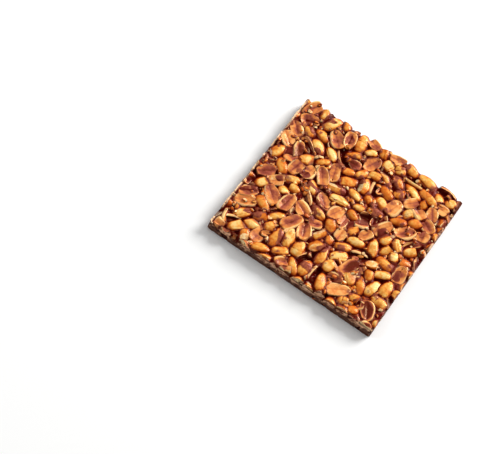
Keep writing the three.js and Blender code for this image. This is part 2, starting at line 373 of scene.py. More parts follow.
def halfForm(nut, dice, fine=1):
    look = halfLook
    seed = dice.uniform(0, 90)
    drawn = ("dish", "valley", "notch", "squareness")
    dish, valley, notch, square = (dice.uniform(*look[name]) for name in drawn)
    bevel, bevelSide = dice.uniform(*look["bevel"]), dice.choice((-1, 1))
    sides, radii, backRings = look["sides"], look["radii"], 7
    if fine < 1:
        sides, radii, backRings = look["coarseSides"], look["coarseRadii"], 5
    back = np.linspace(0, math.pi / 2, backRings)[:-1]
    rows = [(r, None) for r in radii] + [(math.cos(t), math.sin(t)) for t in back]
    pool = look["pooled"] if dice.random() < look["pooledShare"] else dice.uniform(*look["pool"])
    stripe = dice.uniform(*look["stripe"])
    poolX, poolY = (look["poolOff"] * dice.uniform(-1, 1) for made in range(2))
    points, split, rim, furrow = [], [], [], []

    def place(r, depth, angle):
        c, s = math.cos(angle), math.sin(angle)
        wobble = 1 + look["outline"] * rough((3 * c, 3 * s, 0), 1.7, seed)
        x, y = (r * wobble * boxed(value, square) for value in (c, s))
        px, py = setAlong(nut, x, y)
        onBevel = max(s * bevelSide, 0)
        lip = look["lip"] - bevel * onBevel
        if depth is None:
            inner = min(r / lip, 1)
            z = -dish * (1 - inner**3)
            z -= valley * bell(py, look["valleyWidth"] * nut["wide"]) * (1 - inner**2)
            toNotch = math.hypot((x - look["notchAt"]) / look["notchLong"], py / look["notchWide"])
            z -= notch * bell(toNotch, 1)
            over = max(r - lip, 0) / (1 - lip)
            z -= look["shoulder"] * nut["high"] * (1 - math.sqrt(1 - over**2))
            z += look["lump"] * rough((px, py, 0), look["lumpSize"], seed) * (1 - over)
        else:
            z = -nut["high"] * (look["shoulder"] + (1 - look["shoulder"]) * depth)
            z += 2 * look["lump"] * rough((px, py, 9), 3, seed) * depth
        points.append(Vector((px, py, z)))
        onFace = float(depth is None)
        light = clamped((r - lip) / 0.06) * (0.5 + 0.5 * onBevel)
        dark = pool * max(1 - ((x - poolX) ** 2 + (y - poolY) ** 2) ** 1.25, 0)
        dark += stripe * bell(py, look["stripeWidth"] * nut["wide"])
        dark += look["line"] * bell(py, look["lineWidth"])
        split.append(onFace * clamped((lip + 0.06 - r) / 0.07))
        rim.append(onFace * (light - look["tip"] * max(abs(x) - look["tipFrom"], 0) / 0.28))
        furrow.append(onFace * dark)

    place(0, None, 0)
    for r, depth in rows:
        for k in range(sides):
            place(r, depth, 2 * math.pi * k / sides)
    place(0, 1, 0)
    return points, ringFaces(len(rows), sides), {"split": split, "rim": rim, "furrow": furrow}


crumbLook = {"chips": (4, 8), "depth": (0.5, 0.85)}  # how many flats a crumb has, and how deep they cut


def bitForm(nut, dice, fine=1):
    ball = bmesh.new()
    bmesh.ops.create_icosphere(ball, subdivisions=2 if fine == 1 else 1, radius=1)
    size = Vector((nut["long"], nut["wide"], nut["high"])) / 2
    points = [v.co * size for v in ball.verts]
    faces = [tuple(v.index for v in f.verts) for f in ball.faces]
    ball.free()
    return points, faces, {}


forms = {"kernel": kernelForm, "half": halfForm, "bit": bitForm}
vertMarks = ["split", "rim", "furrow", "tone"]
faceMarks = ["cut", "broken"]


def seatHeight(nut):  # where a nut's own origin lies, for its top to come right
    lean = 0.3 * nut["long"] * abs(math.sin(nut["pitch"]))
    sideways = abs(math.sin(nut["roll"])) * nut["wide"] / 2
    upright = 0 if nut["form"] == "half" else math.cos(nut["roll"]) * nut["high"] / 2
    return nut["top"] - lean - math.hypot(sideways, upright)


def chip(nutMesh, point, normal, mark=None):  # takes off what lies beyond a plane and closes the cut
    normal = Vector(normal)
    beyond = [v for v in nutMesh.verts if (v.co - Vector(point)).dot(normal) > 1e-4]
    if not beyond:
        return True
    if len(beyond) == len(nutMesh.verts):
        return False
    everything = nutMesh.verts[:] + nutMesh.edges[:] + nutMesh.faces[:]
    made = bmesh.ops.bisect_plane(nutMesh, geom=everything, dist=1e-5, plane_co=point, plane_no=normal,
                                  clear_outer=True)
    rimEdges = [e for e in made["geom_cut"] if isinstance(e, bmesh.types.BMEdge)]
    caps = bmesh.ops.holes_fill(nutMesh, edges=rimEdges, sides=0)["faces"]
    if mark:
        for face in caps:
            face[nutMesh.faces.layers.float[mark]] = 1
    return True


knife = {
    "give": 0.18,  # a sliced nut ends this far short of the cut at most
    "wear": (0.4, 1.9), "wearFrom": 5, "breaks": 2,  # how far down its top edge crumbled, and how often
    "wearRise": (0.5, 1.4), "wearTurn": 0.6,  # which way those breaks slant
    "cornerCut": 0.75,  # what the rounded front corners take off a nut there
    "floor": 0.1,  # nuts are pressed flat this far above the table
}
frontCut = -halfSide + layoutShift
cornerWay = math.sqrt(0.5)
cornerAt = halfSide - knife["cornerCut"] * cornerWay
knifeCuts = [
    ((halfSide, 0, 0), (1, 0, 0), "cut"),
    ((-halfSide, 0, 0), (-1, 0, 0), "cut"),
    ((0, frontCut, 0), (0, -1, 0), "cut"),
    ((cornerAt, layoutShift - cornerAt, 0), (cornerWay, -cornerWay, 0), "cut"),
    ((-cornerAt, layoutShift - cornerAt, 0), (-cornerWay, -cornerWay, 0), "cut"),
    ((0, 0, knife["floor"]), (0, 0, -1), None),
]

breakage = {
    "sideShare": 0.72, "sideDepth": (0.74, 0.92), "sideRise": (-0.1, 0.35),  # halves that lost some outline
    "endRise": (0, 0.35),  # how far the end of a broken nut leans back
    "cornerAt": (0.22, 0.4), "cornerRise": (-0.3, 0.3),  # the corner it lost, as a share of its width
    "topShare": 0.25, "topDepth": (0.78, 0.93),  # how many broken kernels have a flat facet on top
    "nickShare": 0.25, "nickDepth": (0.82, 0.93),  # how many whole kernels lost a chip
}


def breakNut(nutMesh, nut, dice):  # a slanting end, a lost corner and a facet on top
    end = halfWhole(nut) * nut["blunt"] + halfWhole(nut) * (1 - nut["blunt"]) / 2
    chip(nutMesh, (end, 0, 0), wayOf(1, -nut["slope"], dice.uniform(*breakage["endRise"])), "broken")
    side = dice.choice((-1, 1))
    corner = (end, side * nut["wide"] * dice.uniform(*breakage["cornerAt"]), 0)
    chip(nutMesh, corner, wayOf(0.7, side, dice.uniform(*breakage["cornerRise"])), "broken")
    if nut["form"] == "kernel" and dice.random() < breakage["topShare"]:
        way = wayOf(dice.uniform(-0.6, 0.6), dice.uniform(-0.9, 0.9), 1)
        chipBall(nutMesh, nut, way, dice.uniform(*breakage["topDepth"]))


def trimHalf(nutMesh, nut, dice):  # straight bits in the outline of a half
    while dice.random() < breakage["sideShare"]:
        angle = dice.uniform(0, 2 * math.pi)
        way = wayOf(math.cos(angle), math.sin(angle), dice.uniform(*breakage["sideRise"]))
        chipBall(nutMesh, nut, way, dice.uniform(*breakage["sideDepth"]))


def chipBall(nutMesh, nut, way, depth):  # a flat facet that faces one way on a rounded nut
    size = Vector((nut["long"], nut["wide"], nut["high"])) / 2
    far = math.sqrt(sum((way[i] * size[i]) ** 2 for i in range(3)))
    chip(nutMesh, way * far * depth, way, "broken")


def meshOf(nut, dice, fine):
    points, faces, marks = forms[nut["form"]](nut, dice, fine)
    nutMesh = bmesh.new()
    for point in points:
        nutMesh.verts.new(point)
    nutMesh.verts.ensure_lookup_table()
    for face in faces:
        nutMesh.faces.new([nutMesh.verts[i] for i in face])
    for name in vertMarks:
        layer = nutMesh.verts.layers.float.new(name)
        for vert, value in zip(nutMesh.verts, marks.get(name, [])):
            vert[layer] = value
    for name in faceMarks:
        nutMesh.faces.layers.float.new(name)
    bmesh.ops.recalc_face_normals(nutMesh, faces=nutMesh.faces[:])
    return nutMesh


def pullInside(nutMesh):  # nothing stands out of the plain part's box
    over = max(v.co.z for v in nutMesh.verts) - (cadHigh.z / mm - slab["clearance"])
    behind = max(v.co.y for v in nutMesh.verts) - (cadHigh.y / mm - slab["clearance"])
    nutMesh.transform(Matrix.Translation((0, -max(behind, 0), -max(over, 0))))


def crumbleEdge(nutMesh, at, normal, dice):  # small slanting breaks along the top edge of a knife cut
    for made in range(knife["breaks"]):
        edge = [v.co for v in nutMesh.verts if (v.co - at).dot(normal) > -0.05]
        if not edge or max(co.z for co in edge) < knife["wearFrom"]:
            return
        top = max(edge, key=lambda co: co.z)
        along = normal.cross(Vector((0, 0, 1))) * dice.uniform(-knife["wearTurn"], knife["wearTurn"])
        way = (normal + along + Vector((0, 0, dice.uniform(*knife["wearRise"])))).normalized()
        chip(nutMesh, top - Vector((0, 0, dice.uniform(*knife["wear"]))), way, "broken")


def shapeNut(nut, dice, fine=1):  # a nut in its place, sliced where it crosses a cut
    nutMesh = meshOf(nut, dice, fine)
    if nut["blunt"] < 1:
        breakNut(nutMesh, nut, dice)
    elif nut["form"] == "kernel" and fine == 1 and dice.random() < breakage["nickShare"]:
        way = wayOf(dice.uniform(-1, 1), dice.uniform(-1, 1), dice.uniform(-0.2, 0.8))
        chipBall(nutMesh, nut, way, dice.uniform(*breakage["nickDepth"]))
    if nut["form"] == "half":
        trimHalf(nutMesh, nut, dice)
    if nut["form"] == "bit":
        for made in range(dice.randint(*crumbLook["chips"])):
            way = wayOf(*(dice.gauss(0, 1) for axis in range(3)))
            chipBall(nutMesh, nut, way, dice.uniform(*crumbLook["depth"]))

    turned = Euler((nut["roll"], nut["pitch"], nut["turn"]), "XYZ").to_matrix().to_4x4()
    nutMesh.transform(Matrix.Translation((nut["x"], nut["y"] + layoutShift, seatHeight(nut))) @ turned)
    heights = [v.co.z for v in nutMesh.verts]
    if "lowest" in nut:
        nutMesh.transform(Matrix.Translation((0, 0, nut["lowest"] - min(heights))))
    elif nut["form"] != "half":
        nutMesh.transform(Matrix.Translation((0, 0, nut["top"] - max(heights))))
    pullInside(nutMesh)

    left = True
    for point, normal, mark in knifeCuts:
        at = Vector(point) + Vector(normal) * dice.uniform(-knife["give"], 0)
        left = left and chip(nutMesh, at, normal, mark)
        if left and mark:
            crumbleEdge(nutMesh, at, Vector(normal), dice)
    if not left or not nutMesh.faces:
        nutMesh.free()
        return None
    return nutMesh


class Bag:  # the meshes of one kind of nut, gathered into one piece
    def __init__(self, stainShadeShare):  # how much of the caramel's stain and of the painted shade its nuts take
        self.points, self.faces, self.verts, self.caps = [], [], [], []
        self.stainShadeShare = stainShadeShare

    def add(self, nutMesh, tone):
        nutMesh.verts.index_update()
        start = len(self.points)
        layers = [nutMesh.verts.layers.float[name] for name in vertMarks]
        for vert in nutMesh.verts:
            self.points.append(vert.co.copy())
            self.verts.append([vert[layer] for layer in layers[:-1]] + [tone])
        layers = [nutMesh.faces.layers.float[name] for name in faceMarks]
        for face in nutMesh.faces:
            self.faces.append([v.index + start for v in face.verts])
            self.caps.append([face[layer] for layer in layers])
        nutMesh.free()


def fillBag(nuts, dice, fine=1, meanTone=0, stainShadeShare=1):
    bag = Bag(stainShadeShare)
    for nut in nuts:
        nutMesh = shapeNut(nut, dice, fine)
        tone = dice.gauss(meanTone, 1)
        if nutMesh:
            bag.add(nutMesh, tone)
    return bag


# the pale germ left on some halves
germ = {"long": 2.7, "wide": 1.5, "high": 1.3, "place": 0.7, "sink": 0.25, "spread": (0.85, 1.15)}


def germNut(nut, dice):  # a small kernel that lies in the notch of a half
    local = Vector((germ["place"] * halfWhole(nut), 0, -germ["sink"]))
    turned = Euler((nut["roll"], nut["pitch"], nut["turn"]), "XYZ").to_matrix()
    at = turned @ local + Vector((nut["x"], nut["y"], seatHeight(nut)))
    size = dice.uniform(*germ["spread"])
    return dict(nut, form="kernel", x=at.x, y=at.y, turn=nut["turn"] + dice.uniform(-0.2, 0.2), slope=0,
                long=germ["long"] * size, wide=germ["wide"] * size, high=germ["high"] * size,
                top=at.z + 0.5 * germ["high"])


# splinters and small pieces that fill the gaps between the nuts of the top
fillers = {
    "kinds": [
        ("half", 44, (4.6, 7.4), (3.8, 5.6), (2.6, 3.4), (-30, 30), (-16, 16), (0, 0.5)),
        ("bit", 56, (5, 9), (2, 3.2), (2.2, 3.2), (-60, 60), (-14, 14), (1, 1)),
        ("bit", 90, (2.8, 5), (2.2, 3.6), (2.4, 3.6), (-60, 60), (-40, 40), (1, 1)),
    ],
    "placesTried": 60, "top": (6.6, 8.1),
}


def layFillers(laid):
    before = len(laid)
    scatter(fillers["kinds"], laid, fillers["placesTried"])
    for nut in laid[before:]:
        nut["top"] = between(fillers["top"])
    return laid[before:]


# nuts that only show underneath and in the cut sides
lowerNuts = {
    "kinds": [
        ("kernel", 72, (11, 14.5), (7, 8.6), (6, 7), (-30, 30), (-6, 6), (1, 1)),
        ("half", 46, (12, 15), (8, 9.4), (3.6, 4.4), (168, 192), (-6, 6), (1, 1)),
        ("kernel", 70, (6.5, 9.5), (6, 8), (5.6, 6.6), (-30, 30), (-12, 12), (0.1, 0.6)),
    ],
    "below": (0.35, 1.15),  # how far under the table a nut would reach, were it not pressed flat
    "top": 6,
}


def layLowerNuts():
    laid = []
    scatter(lowerNuts["kinds"], laid)
    settle(laid)
    dice = random.Random(5)
    for nut in laid:
        nut["lowest"] = -dice.uniform(*lowerNuts["below"])
        nut["top"] = lowerNuts["top"]
    return laid


def pick(form, whole=True):
    return [nut for nut in topNuts if nut["form"] == form and (nut["blunt"] == 1) == whole]


germDice = random.Random(17)
germs = [germNut(nut, germDice) for nut in pick("half") if abs(nut["roll"]) < 0.5
         and (nut is topNuts[0] or germDice.random() < halfLook["germShare"])]
bags = {
    "whole_kernels": fillBag(pick("kernel"), random.Random(11)),
    "split_halves": fillBag(pick("half"), random.Random(12)),
    "broken_kernels": fillBag(pick("kernel", False), random.Random(13)),
    "broken_halves": fillBag(pick("half", False), random.Random(14)),
    "nut_crumbs": fillBag(pick("bit"), random.Random(15)),
    "germs": fillBag(germs, random.Random(16), 0.4),
    "nut_splinters": fillBag(layFillers(topNuts[:]), random.Random(19)),
    "lower_nuts": fillBag(layLowerNuts(), random.Random(18), 0.5, -1.2),
}
print("shaped the nuts:", {name: len(bag.points) for name, bag in bags.items()})


caramel = {
    "low": 4.3, "high": 7.2,  # levels of the sheet between the nuts, in its hollows and in its pools
    "poolSize": 9, "poolSteps": (0.12, 0.45), "poolFringe": 0.4,  # higher steps give fewer pools
    "sheetSteps": 56, "roundSteps": 5, "voxel": 0.6,
    "smoothing": 3, "valleySmoothing": 6, "pull": 0.5,  # more rounds of it fill the creases deeper
    "sink": 0.16,  # how far the set caramel drew back from the nuts
    "film": 0.34, "filmSteps": (0.24, 0.5),  # how thick it lies over some nuts
    "filmSize": 10, "fringe": 0.35, "fringeSize": 4,  # how big those films are, and how frayed
    "ripple": 0.05, "rippleSize": 2.2,
    "sideRecess": 0.4, "sideRough": 0.36, "sideGrain": (2.4, 0.8),  # at the cuts, behind the sliced nuts
    "wear": 1.9, "wearSize": 2.4, "wearWidth": 1.6, "wearFrom": 4,  # how far the top edge crumbled there
    "wearMore": 0.35,  # above -1 more of that edge is worn
    "bottom": 0.14, "bottomBump": 0.05, "bottomSize": 6,  # its underside, above that of the nuts
    "darkToClear": (5.6, 7.8),  # painted shade: the levels between which the caramel is painted lighter upwards
    "steep": 0.9, "lean": (0.04, 0.4),  # how dark it is painted on a slope, as shade, and between which leans
    "deepFilm": 1.4, "deepValley": 0.25,  # from how deep a film looks darkest, and from how deep a crease takes its full painted shade
    "near": 0.4,  # how close to a cut or to the table a point counts as lying on it
}


def smoothStep(value, low, high):
    share = clamped((value - low) / (high - low))
    return share * share * (3 - 2 * share)


burrAndHighlight = {  # the thin ridge that the knife raised along the cuts, painted pale as a highlight along its top
    "width": (1.4, 0.75),  # where it rises and where it is full, from the cut inwards
    "top": 8.2, "pale": (5.8, 6.8),  # its level, and from which level up it is painted pale as a highlight
    "size": 7, "from": 0.15, "to": 0.5,  # a higher from breaks it up more
    "leftMore": 0.65, "leftWidth": 2,  # it and its painted highlight are less broken along the left cut
}


def burrAt(x, y):
    look = burrAndHighlight
    toCut = min(halfSide - abs(x), y - frontCut)
    if toCut > look["width"][0]:
        return 0
    share = noise.noise(Vector((x, y, 3)) / look["size"])
    share += look["leftMore"] if x < look["leftWidth"] - halfSide else 0
    return smoothStep(share, look["from"], look["to"]) * smoothStep(toCut, *look["width"])


def sheetLevel(x, y):
    look = caramel
    size, fringe = look["poolSize"], look["poolFringe"]
    pool = noise.noise(Vector((x, y, 40)) / size)
    pool += fringe * noise.noise(Vector((x, y, 80)) / (fringe * size))
    level = look["low"] + (look["high"] - look["low"]) * smoothStep(pool, *look["poolSteps"])
    return level + (burrAndHighlight["top"] - level) * burrAt(x, y)


def coreForm():  # the bare sheet, as columns of points: up the front, back over the top and down
    corner, rounding, steps = slab["cornerRadius"], slab["rearRounding"], caramel["sheetSteps"]
    quarter = np.linspace(0, math.pi / 2, caramel["roundSteps"])
    bends = [halfSide - corner + corner * math.sin(a) for a in quarter]
    inner = np.linspace(corner - halfSide, halfSide - corner, steps)[1:-1]
    across = [-x for x in reversed(bends)] + list(inner) + bends
    points, faces = [], []
    for x in across:
        past = max(abs(x) - halfSide + corner, 0)
        front = frontCut + corner - math.sqrt(max(corner**2 - past**2, 0))
        turnBack = rearEdge(x) + layoutShift - rounding
        column = [(front, 0), (front, 2), (front, 4)]
        column += [(y, sheetLevel(x, y)) for y in np.linspace(front, turnBack, steps)]
        highest = column[-1][1] - rounding
        for middle, turns in ((highest, quarter[1:]), (rounding, quarter + math.pi / 2)):
            column += [(turnBack + rounding * math.sin(a), middle + rounding * math.cos(a)) for a in turns]
        points += [Vector((x, y, z)) for y, z in column]
    n = len(column)
    for start in range(0, len(points) - n, n):
        pairs = [(start + k, start + (k + 1) % n) for k in range(n)]
        faces += [(a, b, b + n, a + n) for a, b in pairs]
    faces += [tuple(reversed(range(n))), tuple(range(len(points) - n, len(points)))]
    return points, faces


def withNuts(points, faces):  # adds the points and faces of all the nuts
    points, faces = list(points), list(faces)
    for bag in bags.values():
        start = len(points)
        points += bag.points
        faces += [[i + start for i in face] for face in bag.faces]
    return points, faces


def placed(name, data):  # a new object in the scene
    made = bpy.data.objects.new(name, data)
    bpy.context.scene.collection.objects.link(made)
    return made


def voxelSkin(points, faces):  # one closed skin round everything
    raw = bpy.data.meshes.new("raw")
    raw.from_pydata([p * mm for p in points], [], faces)
    lump = placed("lump", raw)
    remesh = lump.modifiers.new("skin", "REMESH")
    remesh.mode = "VOXEL"
    remesh.voxel_size = caramel["voxel"] * mm
    skin = bpy.data.meshes.new_from_object(lump.evaluated_get(bpy.context.evaluated_depsgraph_get()))
    bpy.data.objects.remove(lump)
    bpy.data.meshes.remove(raw)
    return skin


def smoothed(co, edges, fixed, rounds):  # draws every point towards the middle of its neighbours
    count = np.bincount(edges.ravel(), minlength=len(co))
    a, b = edges.T
    for made in range(rounds):
        sums = [np.bincount(a, along[b], len(co)) + np.bincount(b, along[a], len(co)) for along in co.T]
        move = caramel["pull"] * (np.stack(sums, 1) / count[:, None] - co)
        move[fixed] = 0
        co = co + move
    return co


def getAll(items, name, width):
    values = np.empty(len(items) * width, int if name == "vertices" else float)
    items.foreach_get(name, values)
    return values.reshape(-1, width)


def setPoints(mesh, co):
    mesh.vertices.foreach_set("co", (co * mm).ravel())
    mesh.update()


def filmOver(p):  # how far the caramel's skin moves out at a point
    look = caramel
    film = noise.noise(p / look["filmSize"])
    film += look["fringe"] * noise.noise(p / look["fringeSize"] + Vector((7, 0, 0)))
    film = look["film"] * smoothStep(film, *look["filmSteps"])
    return film - look["sink"] + look["ripple"] * noise.noise(p / look["rippleSize"])


def pourCaramel():
    look = caramel
    skin = voxelSkin(*withNuts(*coreForm()))
    co = getAll(skin.vertices, "co", 3) / mm
    edges = getAll(skin.edges, "vertices", 2)

    atSide = np.abs(co[:, 0]) > halfSide - look["near"]
    atFront = co[:, 1] < frontCut + look["near"]
    atBottom = co[:, 2] < look["near"]
    held = np.stack([atSide, atFront, atBottom], 1)
    co = smoothed(co, edges, held, look["smoothing"])
    setPoints(skin, co)
    normals = getAll(skin.vertices, "normal", 3)
    valley = ((smoothed(co, edges, held, look["valleySmoothing"]) - co) * normals).sum(1)

    for i in np.nonzero(~(atSide | atFront | atBottom))[0]:
        co[i] += normals[i] * filmOver(Vector(co[i]))
    broad, low = look["sideGrain"]
    for i in np.nonzero(atSide | atFront)[0]:
        x, y, z = co[i]
        grain = noise.noise(Vector((x / broad, y / broad, z / low)))
        depth = look["sideRecess"] + look["sideRough"] * grain
        if atSide[i]:
            co[i, 0] = math.copysign(halfSide - depth, x)
        if atFront[i]:
            co[i, 1] = frontCut + depth
    toCut = np.minimum(halfSide - np.abs(co[:, 0]), co[:, 1] - frontCut)
    for i in np.nonzero((toCut < look["wearWidth"]) & (co[:, 2] > look["wearFrom"]))[0]:
        x, y, z = co[i]
        worn = look["wear"] * max(look["wearMore"] + noise.noise(Vector((x, y, 0)) / look["wearSize"]), 0)
        worn *= 1 - burrAt(x, y)
        co[i, 2] = min(z, slab["nutTop"] - worn * (1 - toCut[i] / look["wearWidth"]))
    for i in np.nonzero(atBottom)[0]:
        co[i, 2] = look["bottom"] + look["bottomBump"] * noise.noise(Vector(co[i]) / look["bottomSize"])
    room = slab["clearance"]
    co = np.clip(co, np.array(cadLow) / mm + room, np.array(cadHigh) / mm - room)
    setPoints(skin, co)
    return skin, co, (atSide | atFront).astype(float), valley


caramelSkin, caramelPoints, caramelSide, caramelValley = pourCaramel()
print("poured the caramel:", len(caramelPoints), "points")


# the caramel's stain on the nuts, and painted shade low down and on their flanks
stainAndShadeLook = {
    "thick": 0.22, "farthest": 3,  # caramel over a nut that is more than its glaze, and how far to measure
    "reach": 1.5,  # how far from thick caramel a nut is still stained by it
    "clear": 7.6, "dark": 5.2,  # painted shade: from the first level down a nut is painted darker, darkest at the second
    "steep": 0.9, "lean": (0, 0.78),  # how dark a flank is painted, as shade and thicker glaze, and between which leans
    "underside": 2.5,  # below this level nothing is darkened for its height
}


def treeOf(points, faces):
    return BVHTree.FromPolygons([tuple(p) for p in points], faces, all_triangles=False)


nutTree = treeOf(*withNuts([], []))


def depthAt(p):  # how far it is to the nearest nut's surface, below zero inside one
    at, normal, index, distance = nutTree.find_nearest(p, stainAndShadeLook["farthest"])
    return stainAndShadeLook["farthest"] if at is None else math.copysign(distance, (p - at).dot(normal))


caramelDepth = np.array([depthAt(Vector(p)) for p in caramelPoints])
thick = [Vector(p) for p in caramelPoints[caramelDepth > stainAndShadeLook["thick"]]]
thickTree = KDTree(len(thick))
for i, p in enumerate(thick):
    thickTree.insert(p, i)
thickTree.balance()
print("measured the films:", len(thick), "points of thick caramel")


grit = {  # crumbs that lie loose on the top, most of them between the nuts
    "count": 380, "size": (2, 4.2), "flat": 0.7, "sink": 0.3, "fromEdge": 1.2, "tone": 0.9,
    "lean": 0.5, "longer": 1.4,
    "stainShadeShare": 0.45,  # how much of the stain and of the painted shade they take
    "highest": 7.4,  # how high up they lie between the nuts
    "onTop": 0.08, "film": 0.1,  # the share that stays on a nut, or on so thin a film over one
}


def gritNuts(dice):
    caramelTree = treeOf(caramelPoints, [tuple(face.vertices) for face in caramelSkin.polygons])
    reach, lean = halfSide - grit["fromEdge"], grit["lean"]
    for made in range(grit["count"]):
        size = dice.uniform(*grit["size"]) * dice.uniform(0.6, 1)
        x, y = dice.uniform(-reach, reach), dice.uniform(-reach, reach)
        above = Vector((x, y + layoutShift, 2 * slab["nutTop"]))
        hits = [tree.ray_cast(above, Vector((0, 0, -1)))[0] or Vector() for tree in (caramelTree, nutTree)]
        z = max(hit.z for hit in hits)
        if (z > grit["highest"] or hits[1].z > z - grit["film"]) and dice.random() > grit["onTop"]:
            continue
        yield {"form": "bit", "x": x, "y": y, "turn": dice.uniform(0, 2 * math.pi), "blunt": 1,
               "roll": dice.uniform(-lean, lean), "pitch": dice.uniform(-lean, lean),
               "long": size * grit["longer"], "wide": size, "high": size * grit["flat"],
               "top": z + (1 - grit["sink"]) * size * grit["flat"]}


gritDice = random.Random(23)
bags["nut_grit"] = fillBag(gritNuts(gritDice), gritDice, 0.5, grit["tone"], grit["stainShadeShare"])
print("strewed the grit")


def tint(*seen):  # red, green and blue as seen on a screen, 0 to 255
    return tuple(((c / 255 + 0.055) / 1.055) ** 2.4 if c > 10 else c / 255 / 12.92 for c in seen) + (1,)


class Recipe:  # a material's nodes, laid out as they are asked for
    def __init__(self, name, colours):
        self.colours = {key: tint(*seen) for key, seen in colours.items()}  # asked for by their names
        self.material = bpy.data.materials.new(name)
        self.material.use_nodes = True
        self.nodes = self.material.node_tree.nodes
        self.links = self.material.node_tree.links
        self.shader = self.nodes["Principled BSDF"]
        self.place = Vector((-1800, 600))
        self.objectPlace = self.add("ShaderNodeTexCoord").outputs["Object"]

    def add(self, kind, sockets=None, **settings):
        node = self.nodes.new(kind)
        node.location = self.place
        self.place += Vector((180, -60))
        for name, value in settings.items():
            setattr(node, name, value)
        for name, value in (sockets or {}).items():
            self.feed(node.inputs[name], value)
        return node

    def feed(self, socket, value):
        if isinstance(value, bpy.types.NodeSocket):
            self.links.new(value, socket)
        else:
            socket.default_value = self.colours[value] if isinstance(value, str) else value

    def mark(self, name):
        return self.add("ShaderNodeAttribute", attribute_name=name).outputs["Fac"]

    def blotches(self, size, detail=3, roughness=0.55, stretch=None):  # noise of a size in millimetres
        place = self.objectPlace
        if stretch:
            place = self.add("ShaderNodeMapping", {"Vector": place, "Scale": stretch}).outputs["Vector"]
        sockets = {"Vector": place, "Scale": 1 / (size * mm), "Detail": detail, "Roughness": roughness}
        return self.add("ShaderNodeTexNoise", sockets).outputs["Fac"]

    def spread(self, value, low, high, lowTo=0, highTo=1):
        sockets = {"Value": value, "From Min": low, "From Max": high, "To Min": lowTo, "To Max": highTo}
        return self.add("ShaderNodeMapRange", sockets, interpolation_type="SMOOTHSTEP").outputs["Result"]

    def sums(self, how, a, b):
        return self.add("ShaderNodeMath", {0: a, 1: b}, operation=how).outputs[0]

    def wandering(self, value, blotches, low, high):
        return self.sums("ADD", value, self.spread(blotches, 0.3, 0.7, low, high))

    def height(self, wander):  # millimetres above the table, give or take
        split = self.add("ShaderNodeSeparateXYZ", {0: self.objectPlace})
        height = self.sums("DIVIDE", split.outputs["Z"], mm)
        return self.wandering(height, self.blotches(3, 4), -wander, wander)

    def mixed(self, share, a, b):
        return self.add("ShaderNodeMix", {"Factor": share, 6: a, 7: b}, data_type="RGBA").outputs[2]

    def ramp(self, value, stops):
        ramp = self.add("ShaderNodeValToRGB", {"Fac": value})
        band = ramp.color_ramp
        while len(band.elements) < len(stops):
            band.elements.new(0.5)
        for element, (at, colour) in zip(band.elements, stops):
            element.position = at
            element.color = self.colours[colour]
        return ramp.outputs["Color"]

    def bump(self, height, distance, strength, under=None):
        sockets = {"Height": height, "Distance": distance * mm, "Strength": strength}
        if under:
            sockets["Normal"] = under
        return self.add("ShaderNodeBump", sockets).outputs["Normal"]

    def finish(self, **sockets):
        for name, value in sockets.items():
            self.feed(self.shader.inputs[name.replace("_", " ")], value)
        return self.material


nutColours = {
    "crownHighlight": (245, 200, 124),  # painted highlight on the tops of the nuts, where they are least stained
    "clear": (238, 171, 80),
    "glazed": (212, 112, 34),
    "stainedAndShaded": (146, 42, 4),  # nearer the caramel: its stain, with painted shade on the flanks and low down
    "stainShade": (74, 2, 0),  # where the caramel climbs the nut, and the deepest painted shade between the nuts
    "toasted": (178, 84, 24),
    "filmedSheen": (138, 70, 56),  # under a thin caramel film, paler and mauve from a painted sheen
    "splitPale": (240, 170, 100),
    "splitFace": (222, 134, 68),
    "splitDeep": (156, 74, 58),
    "splitTip": (104, 40, 16),
    "pooled": (96, 22, 12),
    "rim": (248, 208, 144),
    "flesh": (250, 226, 170),
    "fleshShade": (238, 170, 98),
    "sliced": (234, 178, 138),  # at the knife cuts, smeared by the blade
    "slicedShade": (106, 50, 36),
    "slicedLowShade": (70, 20, 12),  # and lower down, painted shade over the cut
    # painted highlight along the burr at the top of the cuts
    "burrAndHighlight": (250, 212, 172),
}


